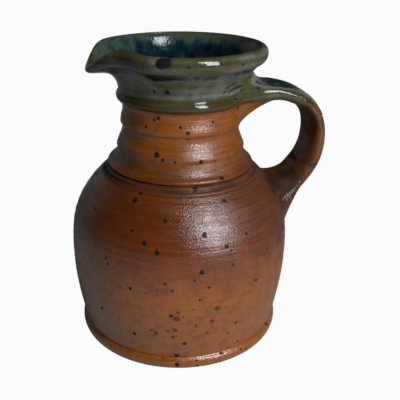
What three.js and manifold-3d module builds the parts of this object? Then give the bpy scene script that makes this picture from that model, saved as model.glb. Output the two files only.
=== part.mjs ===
// Stoneware pitcher: thrown belly, collar neck with a pulled spout, strap handle,
// the luting clay that joins them and three coats of glaze.
// Millimetres, +Z up. Origin at the centre of the flat base, handle towards +X, spout towards -X.
import * as THREE from 'three';
import { mergeVertices } from 'three/addons/utils/BufferGeometryUtils.js';
import Module from 'manifold-3d';

const wasm = await Module();
wasm.setup();

// Belly, heights from the table
const baseRadius = 70.2;
const footBandRadius = 71.7;
const footBandHeight = 7.5;
const waistRadius = 69.8;
const flankRadius = 73.4;
const flankHeight = 27;
const bellyRadius = 76.0;
const bellyHeight = 59;
const upperBellyRadius = 74.0;
const upperBellyHeight = 84;
const shoulderRadius = 67.4;
const shoulderHeight = 100;
const seamRadius = 49.4;
const seamHeight = 121.4;
const seamGrooveDepth = 1.6;
const bellyWall = 6;
const floorThickness = 8;

// Neck, each rise from the ring or hollow below it
const ledgeRadius = 49.2;
const ledgeThickness = 2.2;
const collarRadius = 43.2;
const collarRise = 9.5;
const lowRingRadius = 42.9;
const lowRingRise = 4.5;
const lowHollowRadius = 38.9;
const lowHollowRise = 9.6;
const midRingRadius = 40.0;
const midRingRise = 5.8;
const highHollowRadius = 38.4;
const highHollowRise = 8.2;
const beadRadius = 41.8;
const beadRise = 9;
const throatRadius = 39.8;
const throatRise = 4;
const flareRadius = 44.6;
const flareRise = 10.6;
const lipRise = 17;
const neckWall = 6;

// Lip and pulled spout
const lipRadius = 54.9;
const lipThickness = 6;
const lipDepth = 8.6;
const spoutReach = 6;
const spoutDip = 10.5;
const spoutHalfAngle = 19;
const spoutPinch = 3.2;
const spoutSideRise = 2;
const spoutSideAngle = 38;
const spoutSideSpan = 15;

// Strap handle, its centreline in the XZ plane
const handleRootDrop = 29.8;
const handleReach = 94.6;
const handleReachHeight = 138;
const handleHeelHeight = 94;
const handleTopFullness = 32.7;
const handleBackFullness = 29;
const handleDropFullness = 25.5;
const handleHeelFullness = 21.6;
const handleWidth = 34;
const handleRootThickness = 11.8;
const handleMidThickness = 9.4;
const handleHeelThickness = 13;
const handleGrooveDepth = 0.6;

// Luting clay
const upperLuteLength = 31;
const upperLuteTopSpread = 8.8;
const upperLuteUnderSpread = 11.5;
const upperLuteSideSpread = 8;
const lowerLuteLength = 25;
const lowerLuteTopSpread = 5;
const lowerLuteUnderSpread = 4.4;
const lowerLuteSideSpread = 5;

// Glaze coats and the gap kept between pieces that touch
const glazeThickness = 0.6;
const glazeLineBelowBead = 2.2;
const handleGlazeReach = 70;
const clearance = 0.3;

// Facets round the pot and round the strap
const turns = 40;
const strapSides = 20;
const strapStep = 4.5;

const collarHeight = seamHeight + collarRise;
const lowRingHeight = collarHeight + lowRingRise;
const lowHollowHeight = lowRingHeight + lowHollowRise;
const midRingHeight = lowHollowHeight + midRingRise;
const highHollowHeight = midRingHeight + highHollowRise;
const beadHeight = highHollowHeight + beadRise;
const throatHeight = beadHeight + throatRise;
const flareHeight = throatHeight + flareRise;
const rimHeight = flareHeight + lipRise;
const glazeLine = beadHeight - glazeLineBelowBead;
const point = (radius, height) => new THREE.Vector2(radius, height);

// Smooth line through a few points, with a number of steps between each pair
function smoothLine(points, steps) {
  return new THREE.SplineCurve(points).getPoints((points.length - 1) * steps);
}

// The same line moved sideways, to its left when the distance is positive
function beside(line, distance) {
  return line.map((here, i) => {
    const before = line[Math.max(i - 1, 0)];
    const after = line[Math.min(i + 1, line.length - 1)];
    const along = after.clone().sub(before).normalize();
    return point(here.x - along.y * distance, here.y + along.x * distance);
  });
}

// Radius of a line of points at a height, held at its ends
function radiusAt(line, height) {
  for (let i = 1; i < line.length; i += 1) {
    const low = line[i - 1];
    const high = line[i];
    if (height <= high.y && high.y > low.y) {
      const share = Math.max(0, (height - low.y) / (high.y - low.y));
      return low.x + (high.x - low.x) * share;
    }
  }
  return line[line.length - 1].x;
}

// Outside of the belly from the foot band to the groove under the neck
const footBand = [
  point(baseRadius, 0),
  point(footBandRadius - 0.7, 1.2),
  point(footBandRadius, footBandHeight * 0.4),
  point(footBandRadius - 0.5, footBandHeight * 0.75),
];
const bellyLine = smoothLine([
  point(waistRadius, footBandHeight),
  point(flankRadius, flankHeight),
  point(bellyRadius, bellyHeight),
  point(upperBellyRadius, upperBellyHeight),
  point(shoulderRadius, shoulderHeight),
  point(seamRadius, seamHeight - 0.8),
], 2);
const seamSeat = point(seamRadius - seamGrooveDepth, seamHeight);
const bodyLine = [...footBand, ...bellyLine, seamSeat];

// Inside of the belly, one wall in from the outside, with a rounded corner at the floor
const cornerRadius = 7;
const bellyInside = beside(bellyLine, bellyWall)
  .filter((spot) => spot.y > floorThickness + cornerRadius && spot.y < seamHeight - bellyWall * 0.5);
const seamInside = point(seamSeat.x - bellyWall, seamHeight);
const wallFoot = radiusAt(bellyLine, floorThickness + cornerRadius) - bellyWall;
const floorCorner = new THREE.EllipseCurve(
  wallFoot - cornerRadius, floorThickness + cornerRadius, cornerRadius, cornerRadius, -Math.PI / 2, 0,
).getPoints(3);
const bodyInside = [...floorCorner, ...bellyInside, seamInside];

// Outside of the neck: ledge, throwing rings, bead and flare
const neckFoot = seamHeight + clearance;
const ledge = [
  point(ledgeRadius - 0.6, neckFoot),
  point(ledgeRadius, neckFoot + ledgeThickness * 0.45),
  point(ledgeRadius - 0.9, neckFoot + ledgeThickness),
];
const lipCentre = point(lipRadius - lipThickness / 2, rimHeight - lipDepth / 2);
const collar = smoothLine([
  point(collarRadius + 2.4, seamHeight + ledgeThickness + 1.2),
  point(collarRadius, collarHeight),
  point(lowRingRadius, lowRingHeight),
  point(lowHollowRadius, lowHollowHeight),
  point(midRingRadius, midRingHeight),
  point(highHollowRadius, highHollowHeight),
  point(beadRadius, beadHeight),
  point(throatRadius, throatHeight),
  point(flareRadius, flareHeight),
  point(lipCentre.x - 0.6, rimHeight - lipDepth - 0.6),
], 2);
const lipOutside = new THREE.EllipseCurve(
  lipCentre.x, lipCentre.y, lipThickness / 2, lipDepth / 2, -Math.PI * 0.38, Math.PI * 0.46,
).getPoints(5);
const lipInside = new THREE.EllipseCurve(
  lipCentre.x, lipCentre.y, lipThickness / 2, lipDepth / 2, Math.PI * 0.5, Math.PI * 0.9,
).getPoints(3);
const neckLine = [...ledge, ...collar, ...lipOutside];

// Inside of the neck, a smooth throat one wall in from the hollows
const neckInside = smoothLine([
  point(lipInside[3].x - 0.4, rimHeight - lipDepth * 0.75),
  point(flareRadius - neckWall, flareHeight + 1),
  point(throatRadius - neckWall, throatHeight),
  point(highHollowRadius - neckWall, highHollowHeight),
  point(lowHollowRadius - neckWall, lowHollowHeight),
  point(collarRadius - neckWall, collarHeight),
  point(seamInside.x, neckFoot),
], 2);

// Where a spot of the turned pot lies once the spout is pulled: out and down at its tip,
// pinched in and raised beside it
function pulled(spot, angle) {
  const lift = THREE.MathUtils.smoothstep(spot.y, throatHeight, rimHeight - lipDepth * 0.4);
  const fromSpout = THREE.MathUtils.radToDeg(Math.abs(Math.atan2(Math.sin(angle), -Math.cos(angle))));
  const tip = Math.exp(-((fromSpout / spoutHalfAngle) ** 2)) * lift;
  const side = Math.exp(-(((fromSpout - spoutSideAngle) / spoutSideSpan) ** 2)) * lift;
  const radius = spot.x + spoutReach * tip * lift ** 4 - spoutPinch * side * lift;
  const height = spot.y - spoutDip * tip + spoutSideRise * side;
  return new THREE.Vector3(radius * Math.cos(angle), radius * Math.sin(angle), height);
}

// The same spot moved off the pulled surface, at the full distance from the wall on both sides of it
function offSurface(line, i, angle, distance) {
  const here = pulled(line[i], angle);
  const near = line[i].x > 1 ? line[i] : point(1, line[i].y);
  const round = pulled(near, angle + 0.01).sub(pulled(near, angle - 0.01));
  const before = pulled(line[Math.max(i - 1, 0)], angle);
  const after = pulled(line[Math.min(i + 1, line.length - 1)], angle);
  const below = round.clone().cross(here.clone().sub(before)).normalize();
  const above = round.clone().cross(after.sub(here)).normalize();
  const normal = below.add(above);
  const stretches = i > 0 && i < line.length - 1 ? 2 : 1;
  normal.multiplyScalar(stretches / Math.max(normal.lengthSq(), 1));
  if (line[i].x < 1) normal.set(0, 0, Math.sign(normal.z));
  return here.addScaledVector(normal, distance);
}

const angles = Array.from({ length: turns }, (_, turn) => (-turn / turns) * Math.PI * 2);

// Solid turned from a closed outline of radius and height, with the spout pulled
function turned(outline) {
  return drawn(angles.map((angle) => outline.map((spot) => pulled(spot, angle).toArray())), true);
}

// Skin that follows a line of the turned pot between two distances from it
function skin(line, inner, outer) {
  return drawn(angles.map((angle) => [
    ...line.map((_, i) => offSurface(line, i, angle, outer).toArray()),
    ...line.map((_, i) => offSurface(line, i, angle, inner).toArray()).reverse(),
  ]), true);
}

const plain = (geometry) => {
  geometry.deleteAttribute('normal');
  geometry.deleteAttribute('uv');
  return mergeVertices(geometry, 1e-4);
};

function solidOf(geometry) {
  const merged = plain(geometry);
  return new wasm.Manifold(new wasm.Mesh({
    numProp: 3,
    vertProperties: merged.attributes.position.array,
    triVerts: new Uint32Array(merged.index.array),
  }));
}

function geometryOf(solid) {
  const mesh = solid.getMesh();
  const geometry = new THREE.BufferGeometry();
  const spots = new Float32Array(mesh.vertProperties);
  geometry.setAttribute('position', new THREE.BufferAttribute(spots, 3));
  geometry.setIndex(new THREE.BufferAttribute(new Uint32Array(mesh.triVerts), 1));
  geometry.computeVertexNormals();
  return geometry;
}

const apart = (one, other) => Math.hypot(one[0] - other[0], one[1] - other[1], one[2] - other[2]);

// Solid drawn out through rings of spots: round to the first ring again, or closed at both ends.
// Each facet with four corners is split along its shorter diagonal.
function drawn(rings, round) {
  const count = rings[0].length;
  const last = (rings.length - 1) * count;
  const index = [];
  const steps = round ? rings.length : rings.length - 1;
  for (let step = 0; step < steps; step += 1) {
    const follow = (step + 1) % rings.length;
    for (let side = 0; side < count; side += 1) {
      const next = (side + 1) % count;
      const a = step * count + side;
      const b = step * count + next;
      const c = follow * count + side;
      const d = follow * count + next;
      const rising = apart(rings[step][next], rings[follow][side]);
      const falling = apart(rings[step][side], rings[follow][next]);
      index.push(...(rising < falling ? [a, b, c, b, d, c] : [a, b, d, a, d, c]));
    }
  }
  for (let side = 0; !round && side < count / 2 - 1; side += 1) {
    const far = count - 1 - side;
    index.push(side, far, side + 1, side + 1, far, far - 1);
    index.push(last + side, last + side + 1, last + far, last + side + 1, last + far - 1, last + far);
  }
  const geometry = new THREE.BufferGeometry();
  geometry.setAttribute('position', new THREE.Float32BufferAttribute(rings.flat(2), 3));
  geometry.setIndex(index);
  return solidOf(geometry);
}

// Centreline of the strap: out of the neck wall, over the top and down into the shoulder.
// Both ends run on straight inside the wall, deep enough for the widest luting clay.
const handleRootHeight = rimHeight - handleRootDrop;
const root = point(radiusAt(neckLine, handleRootHeight), handleRootHeight);
const heel = point(radiusAt(bodyLine, handleHeelHeight), handleHeelHeight);
const heelSlope = point(0.68, 0.73);
const buried = (radius, sideSpread) => {
  const halfSpan = Math.min(handleWidth / 2 + sideSpread + glazeThickness + clearance * 3, radius);
  return radius - Math.sqrt(radius ** 2 - halfSpan ** 2) + clearance * 4;
};
const rootDepth = buried(root.x, upperLuteSideSpread);
const heelDepth = buried(heel.x, lowerLuteSideSpread) / heelSlope.x + handleHeelThickness;
const reach = point(handleReach, handleReachHeight);
const strapPath = new THREE.CurvePath();
strapPath.add(new THREE.LineCurve(point(root.x - rootDepth, root.y), root));
strapPath.add(new THREE.CubicBezierCurve(
  root,
  point(root.x + handleTopFullness, root.y),
  point(reach.x, reach.y + handleBackFullness),
  reach,
));
strapPath.add(new THREE.CubicBezierCurve(
  reach,
  point(reach.x, reach.y - handleDropFullness),
  heel.clone().addScaledVector(heelSlope, handleHeelFullness),
  heel,
));
strapPath.add(new THREE.LineCurve(heel, heel.clone().addScaledVector(heelSlope, -heelDepth)));
const strapLength = strapPath.getLength();

// Thickness of the strap along its length: root, middle and heel
function strapThickness(share) {
  const fromRoot = Math.max(0, 1 - share / 0.35) ** 2;
  const fromHeel = Math.max(0, (share - 0.6) / 0.4) ** 2;
  return handleMidThickness
    + (handleRootThickness - handleMidThickness) * fromRoot
    + (handleHeelThickness - handleMidThickness) * fromHeel;
}

// Spread of the luting clay at a spot of the strap, by side: top, under and sideways
function luteSpread(share) {
  const fromRoot = Math.max(0, share * strapLength - rootDepth);
  const fromHeel = Math.max(0, (1 - share) * strapLength - heelDepth);
  const upper = Math.max(0, 1 - fromRoot / upperLuteLength) ** 2;
  const lower = Math.max(0, 1 - fromHeel / lowerLuteLength) ** 2;
  return {
    top: upperLuteTopSpread * upper + lowerLuteTopSpread * lower,
    under: upperLuteUnderSpread * upper + lowerLuteUnderSpread * lower,
    side: upperLuteSideSpread * upper + lowerLuteSideSpread * lower,
  };
}

// A spot on the strap's skin: share of the length, turn round the section, growth all round
function strapSpot(share, turn, grow, withLute) {
  const centre = strapPath.getPointAt(share);
  const along = strapPath.getTangentAt(share);
  const spread = withLute ? luteSpread(share) : { top: 0, under: 0, side: 0 };
  const c = Math.cos(turn);
  const s = Math.sin(turn);
  const wide = Math.sign(c) * Math.abs(c) ** 0.56;
  const thick = Math.sign(s) * Math.abs(s) ** 0.56;
  const groove = s > 0 ? handleGrooveDepth * s * (0.5 - 0.5 * Math.cos(wide * Math.PI * 3)) : 0;
  const upDown = s > 0 ? spread.top : spread.under;
  const across = wide * (handleWidth / 2 + grow + spread.side);
  const out = thick * (strapThickness(share) / 2 + grow + upDown) - groove;
  return [centre.x - along.y * out, across, centre.y + along.x * out];
}

// Stations along the strap and turns round it, the same for every shape that follows it
const stations = Math.ceil(strapLength / strapStep);
const turnAt = (side) => (side / strapSides) * Math.PI * 2;
function sharesBetween(from, to) {
  const first = Math.floor(from * stations);
  const last = Math.min(Math.ceil(to * stations), stations);
  return Array.from({ length: last - first + 1 }, (_, i) => (first + i) / stations);
}

// Whole strap, grown all round, and with its luting clay when asked
function strap(grow, withLute, from, to) {
  const sides = Array.from({ length: strapSides }, (_, side) => turnAt(side));
  return drawn(sharesBetween(from, to).map(
    (share) => sides.map((turn) => strapSpot(share, turn, grow, withLute)),
  ), false);
}

// Skin over the top and both edges of the strap, open underneath
function strapSkin(inner, outer, from, to) {
  const arc = Array.from({ length: strapSides / 2 + 3 }, (_, i) => turnAt(i - 1));
  return drawn(sharesBetween(from, to).map((share) => [
    ...arc.map((turn) => strapSpot(share, turn, outer, true)),
    ...[...arc].reverse().map((turn) => strapSpot(share, turn, inner, true)),
  ]), false);
}

// Filled pot, standing off by a gap, to cut the strap, the lutes and their glaze to the wall
function potFilled(gap) {
  const wall = [...bodyLine, ...neckLine].map((spot) => point(spot.x + gap, spot.y));
  const top = rimHeight + 1;
  return turned([point(0, 0), ...wall, point(lipCentre.x, top), point(0, top)]);
}

const body = turned([
  point(0, 0),
  ...bodyLine,
  ...[...bodyInside].reverse(),
  point(0, floorThickness),
]);
const neck = turned([...neckLine, ...lipInside, ...neckInside]);

const handle = strap(0, false, 0, 1).subtract(potFilled(clearance));
const strapRoom = strap(clearance, false, 0, 1);
const upperShare = (rootDepth + upperLuteLength) / strapLength;
const lowerShare = 1 - (heelDepth + lowerLuteLength) / strapLength;
const upperLute = strap(0, true, 0, upperShare).subtract(strapRoom).subtract(potFilled(clearance));
const lowerLute = strap(0, true, lowerShare, 1).subtract(strapRoom).subtract(potFilled(clearance));

// Glaze outside: a skin over lip and upper neck that stops at the handle
const dipLine = [
  point(radiusAt(neckLine, glazeLine), glazeLine),
  ...[...collar, ...lipOutside].filter((spot) => spot.y > glazeLine + 0.2),
];
const handleRoom = strap(clearance * 2 + glazeThickness, true, 0, 1);
const rimGlaze = skin(dipLine, clearance, clearance + glazeThickness).subtract(handleRoom);

// Glaze inside: a skin from the floor up the wall and the throat to the top of the lip
const linerLine = [
  point(0, floorThickness),
  ...bodyInside,
  ...[...lipInside, ...neckInside.slice(0, -1)].reverse(),
];
const linerGlaze = skin(linerLine, -clearance - glazeThickness, -clearance);

// Glaze on the handle: a skin over strap and upper lute above the dip line
const dipDepth = rimHeight - glazeLine;
const aboveDip = new THREE.BoxGeometry(handleReach * 2, handleReach * 2, dipDepth)
  .translate(handleReach, 0, glazeLine + dipDepth / 2);
const glazeShare = (rootDepth + handleGlazeReach) / strapLength;
const handleGlaze = strapSkin(clearance, clearance + glazeThickness, 0, glazeShare)
  .intersect(solidOf(aboveDip))
  .subtract(potFilled(clearance * 2 + glazeThickness));

// Fired colours: toasted clay and two shades of the same glaze
const fired = (color, roughness) => new THREE.MeshStandardMaterial({ color, roughness, metalness: 0 });
const part = new THREE.Group();
part.name = 'stoneware_pitcher';
function place(name, solid, material) {
  const mesh = new THREE.Mesh(geometryOf(solid), material);
  mesh.name = name;
  part.add(mesh);
}
place('body', body, fired(0xa56f42, 0.45));
place('neck', neck, fired(0x8f6038, 0.45));
place('handle', handle, fired(0x7a4a28, 0.5));
place('upper_lute', upperLute, fired(0x8a5a34, 0.5));
place('lower_lute', lowerLute, fired(0x6b4124, 0.55));
place('rim_glaze', rimGlaze, fired(0x6f7258, 0.18));
place('liner_glaze', linerGlaze, fired(0x3c5660, 0.15));
place('handle_glaze', handleGlaze, fired(0x6a7766, 0.18));

export default part;
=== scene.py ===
# %% [markdown]
# # A thrown stoneware pitcher
# The pitcher is a belly and a collar neck turned on the wheel, a strap handle pulled from a
# lump of clay, two beads of soft luting clay that join them, and a dipped glaze on the rim,
# the handle's top and the inside. The solids of the part are the fixed frame here. Each piece
# below is drawn finer than its solid, in the same place, and then stands for it.

# %% Frame
import math
import random

import bmesh
import bpy
from mathutils import Matrix, Vector, noise
from mathutils.bvhtree import BVHTree
from mathutils.geometry import interpolate_bezier


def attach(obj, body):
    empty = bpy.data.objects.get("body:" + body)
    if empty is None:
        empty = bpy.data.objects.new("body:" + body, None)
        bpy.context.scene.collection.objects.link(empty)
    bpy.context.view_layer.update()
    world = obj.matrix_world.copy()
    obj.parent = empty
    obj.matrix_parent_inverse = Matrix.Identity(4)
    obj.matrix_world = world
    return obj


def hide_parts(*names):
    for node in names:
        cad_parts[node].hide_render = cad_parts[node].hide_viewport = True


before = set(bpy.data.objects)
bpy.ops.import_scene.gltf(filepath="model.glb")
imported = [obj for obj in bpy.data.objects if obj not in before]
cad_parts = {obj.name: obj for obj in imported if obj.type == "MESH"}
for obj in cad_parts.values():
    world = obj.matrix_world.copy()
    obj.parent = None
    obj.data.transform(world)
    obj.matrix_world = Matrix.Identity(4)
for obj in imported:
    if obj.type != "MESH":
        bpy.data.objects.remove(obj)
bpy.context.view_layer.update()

MM = 0.001

# %% [markdown]
# ## The camera first
# A photograph can be matched only through its own lens, so the camera comes before the shapes.
# The picture was taken from about 0.45 m, looking 24 degrees down. The pot was turned 12
# degrees on the table, so here the camera turns round the pot by the same angle. The focal
# length in pixels gives the lens on Blender's 36 mm sensor.

# %% Camera
IMAGE_SIDE = 400
FOCAL_PIXELS = 580
POT_TURN = math.radians(12)
PITCH_DOWN = math.radians(23.92)
ROLL = math.radians(1.27)
eye_as_photographed = Vector((14.2, -378.07, 258.85)) * MM
turned_back = Matrix.Rotation(-POT_TURN, 4, "Z")
aim = Matrix.Rotation(math.pi / 2 - PITCH_DOWN, 4, "X") @ Matrix.Rotation(ROLL, 4, "Z")
eye_place = turned_back @ Matrix.Translation(eye_as_photographed) @ aim

lens = bpy.data.cameras.new("eye")
lens.sensor_width = 36
lens.lens = FOCAL_PIXELS / IMAGE_SIDE * lens.sensor_width
eye = bpy.data.objects.new("eye", lens)
eye.matrix_world = eye_place
bpy.context.scene.collection.objects.link(eye)
bpy.context.scene.camera = eye


def sight_line(x, y):
    """Start and direction of the ray through a pixel of the picture."""
    half = IMAGE_SIDE / 2
    through = Vector(((x - half) / FOCAL_PIXELS, (half - y) / FOCAL_PIXELS, -1))
    return eye_place.translation, (eye_place.to_3x3() @ through).normalized()


print("camera at", [round(v / MM, 1) for v in eye_place.translation], "mm, lens", round(lens.lens, 1))

# %% [markdown]
# ## Lines for the wheel
# A thrown pot is a line swept round an axis. The line could be a curve object with a Screw
# modifier, but the rows are needed at an even spacing, about one millimetre, so that throwing
# marks can be pressed into them later. So a few chosen points are joined by Bezier arcs whose
# slope at each point is that of its neighbours, and the arcs are sampled evenly.

# %% Smooth lines
ROW = 1.1


def soft_line(points, row=ROW):
    """A smooth line through (radius, height) points in mm, with a spot about every row."""
    spots = [Vector((r, z, 0)) for r, z in points]
    slopes = []
    for i in range(len(spots)):
        before, after = spots[max(i - 1, 0)], spots[min(i + 1, len(spots) - 1)]
        span = (spots[i] - before).length + (after - spots[i]).length
        slopes.append((after - before) / span)
    line = []
    for a, b, slope_a, slope_b in zip(spots, spots[1:], slopes, slopes[1:]):
        third = (b - a).length / 3
        count = max(2, round((b - a).length / row) + 1)
        line += interpolate_bezier(a, a + slope_a * third, b - slope_b * third, b, count)[:-1]
    return [(s.x, s.y) for s in line] + [tuple(points[-1])]


def radius_at(line, height):
    """Radius of an outside line at a height."""
    for (r0, z0), (r1, z1) in zip(line, line[1:]):
        if z0 <= height <= z1 and z1 > z0:
            return r0 + (r1 - r0) * (height - z0) / (z1 - z0)
    return line[-1][0]


print("lines have a spot about every", ROW, "mm")

# %% [markdown]
# ## Hands on the clay
# No hand-thrown wall is a true circle. Fingers climb the wall as the wheel turns, so they leave
# a shallow spiral, and the clay sways a little. The spout is made last: one finger strokes the
# rim out and down, while two others hold the sides, which come in and rise. Both are written as
# functions of place, so that clay and glaze move alike and never come apart.

# %% Wheel and spout
TURNS = 200
THROAT, RIM, LIP_DEPTH = 172.0, 199.6, 8.6
SPOUT_REACH, SPOUT_DIP, HALF_NEAR, HALF_FAR = 5.4, 10.5, 20.0, 17.5
FAR_CHEEK, FAR_CHEEK_ANGLE, FAR_CHEEK_SPAN = 2.6, 27.0, 13.0
SPOUT_SIDE_ANGLE, SPOUT_SIDE_SPAN = 38.0, 15.0
PINCH_NEAR, PINCH_FAR, RISE_NEAR, RISE_FAR, RIM_TILT = 3.4, 0.4, 2.0, 0.2, 0.012
PULLED = RIM - LIP_DEPTH * 0.4
SPIRAL_PITCH, SPIRAL_DEPTH, SWAY, SWAY_RISE = 5.2, 0.07, 0.18, 40.0
GRIP_LOW, GRIP_FULL, GRIP_INNER, GRIP_OUTER = 10.0, 30.0, 20.0, 35.0
PROBE, PROBE_TURN, ON_AXIS, SAME_SPOT = 0.2, 0.01, 0.001, 1e-6


def smooth_step(value, low, high):
    share = min(1, max(0, (value - low) / (high - low)))
    return share * share * (3 - 2 * share)


def bell(value, centre, wide):
    return math.exp(-(((value - centre) / wide) ** 2))


def by_hand(radius, height, angle):
    """Where a spot of the turned pot, in mm, lies after throwing and after the spout is pulled."""
    lift = smooth_step(height, THROAT, PULLED)
    from_spout = math.degrees(abs(math.atan2(math.sin(angle), -math.cos(angle))))
    near = math.sin(angle) < 0
    tip = bell(from_spout, 0, HALF_NEAR if near else HALF_FAR) * lift
    side = bell(from_spout, SPOUT_SIDE_ANGLE, SPOUT_SIDE_SPAN) * lift
    grip = smooth_step(height, GRIP_LOW, GRIP_FULL) * (1 - lift)
    grip *= smooth_step(radius, GRIP_INNER, GRIP_OUTER)
    spiral = math.sin(2 * math.pi * height / SPIRAL_PITCH + angle)
    sway = math.sin(2 * angle + height / SWAY_RISE)
    radius += (SPIRAL_DEPTH * spiral + SWAY * sway) * grip
    pinch, rise = (PINCH_NEAR, RISE_NEAR) if near else (PINCH_FAR, RISE_FAR)
    cheek = 0 if near else bell(from_spout, FAR_CHEEK_ANGLE, FAR_CHEEK_SPAN) * lift
    radius += (SPOUT_REACH * tip + FAR_CHEEK * cheek) * lift ** 6 - pinch * side * lift
    height += rise * side - SPOUT_DIP * tip * lift ** 2 + RIM_TILT * radius * math.cos(angle) * lift
    return Vector((radius * math.cos(angle), radius * math.sin(angle), height)) * MM


def coated(radius, height, angle, slope, coat):
    """A spot as far off the worked clay as the coat is thick. The slope is the turned line's."""
    step_r, step_z = math.cos(slope) * PROBE, math.sin(slope) * PROBE
    before = by_hand(radius - step_r, height - step_z, angle)
    along = by_hand(radius + step_r, height + step_z, angle) - before
    around = by_hand(radius, height, angle + PROBE_TURN) - by_hand(radius, height, angle - PROBE_TURN)
    return by_hand(radius, height, angle) + around.cross(along).normalized() * coat * MM


def beside(line, coat):
    """Spots beside a line, out from the wall when the coat is positive, each with slope and coat."""
    moved = []
    for i, (r, z) in enumerate(line):
        r0, z0 = line[max(i - 1, 0)]
        r1, z1 = line[min(i + 1, len(line) - 1)]
        slope = math.atan2(z1 - z0, r1 - r0)
        moved.append((r + math.sin(slope) * coat, z - math.cos(slope) * coat, slope, coat))
    return moved


def thrown(outline, closed, marks=None):
    """The mesh of an outline in mm spun round the axis, with a mark kept on each of its spots."""
    mesh = bmesh.new()
    layers = {name: mesh.verts.layers.float.new(name) for name in ["slope", "coat", *(marks or {})]}
    spots = []
    for r, z, *beside_it in outline:
        spots.append(mesh.verts.new((r * MM, 0, z * MM)))
        spots[-1][layers["slope"]], spots[-1][layers["coat"]] = beside_it or (0, 0)
        for name, mark in (marks or {}).items():
            spots[-1][layers[name]] = mark(r, z)
    follow = spots[1:] + spots[:1] if closed else spots[1:]
    edges = [mesh.edges.new(pair) for pair in zip(spots, follow)]
    bmesh.ops.spin(mesh, geom=spots + edges, cent=(0, 0, 0), axis=(0, 0, 1),
                   angle=2 * math.pi, steps=TURNS, use_merge=True)
    bmesh.ops.remove_doubles(mesh, verts=mesh.verts, dist=SAME_SPOT)
    bmesh.ops.recalc_face_normals(mesh, faces=mesh.faces)
    for spot in mesh.verts:
        radius, angle = math.hypot(spot.co.x, spot.co.y) / MM, math.atan2(spot.co.y, spot.co.x)
        slope, coat = spot[layers["slope"]], spot[layers["coat"]]
        if radius > ON_AXIS:
            line_r, line_z = radius - math.sin(slope) * coat, spot.co.z / MM + math.cos(slope) * coat
            spot.co = coated(line_r, line_z, angle, slope, coat)
    for name in ("slope", "coat"):
        mesh.verts.layers.float.remove(mesh.verts.layers.float[name])
    return mesh


def finished(mesh, name, nodes):
    """Makes the object of a mesh, smooth, riding on the pot and standing for its solids."""
    data = bpy.data.meshes.new(name)
    mesh.to_mesh(data)
    data.shade_smooth()
    piece = bpy.data.objects.new(name, data)
    bpy.context.scene.collection.objects.link(piece)
    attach(piece, "root")
    if nodes:
        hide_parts(*nodes)
    triangles = sum(len(face.verts) - 2 for face in mesh.faces)
    open_edges = sum(not edge.is_manifold for edge in mesh.edges)
    print(name, triangles, "triangles,", open_edges, "open edges")
    return piece


print("spout reaches", SPOUT_REACH, "mm out and dips", SPOUT_DIP, "mm")


# %% [markdown]
# ## The belly
# The belly is the first thing thrown: a flat floor cut from the wheel with a wire, a foot band
# with an incised line over it, and a wall that swells, then closes to the shoulder. Two lines
# are cut under the neck. The wall could be a surface with a Solidify modifier, but a potter's
# wall is thicker below, so the inside is a line of its own and the outline is spun as a whole.

# %% Belly
FLOOR = 8.0
foot = soft_line([(70.4, 0), (71.5, 0.6), (72.2, 2.4), (72.2, 4.6), (71.6, 6.5), (70.8, 7.3)])
incised_line = [(69.9, 7.7), (69.8, 8.2)]
flank = soft_line([(70.4, 8.8), (71.3, 14), (73.5, 27), (75.4, 43), (76.0, 58), (75.6, 72),
                   (74.0, 84), (71.2, 92.5), (67.4, 100), (61.6, 108.2), (56.8, 113.6), (53.9, 116.5)])
cut_on_shoulder = [(53.3, 116.65), (53.1, 116.9), (53.1, 117.3), (52.8, 117.6)]
cut_under_neck = [(52.3, 118.0), (51.3, 118.3), (50.9, 119.2), (51.0, 119.9)]
seam = [(50.4, 120.5), (49.3, 120.9), (47.8, 121.2), (46.0, 121.4)]
belly_outside = foot + incised_line + flank + cut_on_shoulder + cut_under_neck + seam
belly_inside = soft_line([(42.0, 121.4), (47.0, 115.0), (56.0, 106.5), (63.0, 97.0), (67.6, 84),
                          (70.0, 59), (67.4, 27), (63.6, 14.5), (57.0, 8.4), (48.0, FLOOR)], 3)
belly = thrown([(0, 0)] + belly_outside + belly_inside + [(0, FLOOR)], False)
print("belly", len(belly_outside), "rows outside, widest", max(r for r, z in belly_outside), "mm")

# %% [markdown]
# ## The neck
# The neck was thrown apart, as a collar with a ledge at its foot that caps the shoulder. Firm
# fingers left steps on it: each widens downwards and turns under in a crease. Over them are a
# round bead, a throat with a fine ridge, a flare and a thick rolled lip. Its outline comes back
# down the inside, so the closed loop spins into a ring with no sealed hollow.

# %% Neck
ledge = soft_line([(46.5, 121.7), (48.5, 121.75), (49.25, 122.5), (49.2, 123.5), (48.4, 124.3)], 0.6)
collar = soft_line([(46.2, 125.2), (44.3, 128.0), (43.2, 131.0), (42.6, 133.0)])
low_step = soft_line([(42.7, 133.9), (43.05, 134.7), (42.9, 135.6), (42.2, 137.4), (41.1, 140.0),
                      (39.8, 143.2), (39.1, 146.0), (39.1, 148.2)])
high_step = soft_line([(39.45, 149.3), (40.1, 150.0), (40.35, 150.9), (40.1, 152.4), (39.5, 155.2),
                       (38.8, 158.2), (38.6, 160.8), (39.2, 163.6)])
BEAD_FOOT = 165.0
upper = soft_line([(40.3, BEAD_FOOT), (41.7, 166.3), (42.3, 168.0), (41.7, 169.8), (40.5, 171.2),
                   (40.3, 172.2), (40.7, 173.2), (41.0, 173.9), (41.0, 174.9), (41.5, 176.8),
                   (43.2, 180.2), (45.6, 183.8), (48.6, 187.4), (50.4, 189.4)])
lip = soft_line([(51.2, 190.0), (53.2, 190.9), (54.8, 192.8), (55.35, 195.4), (54.7, 198.0),
                 (53.0, 199.6), (51.2, 199.7), (49.6, 198.4)], 0.8)
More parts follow.
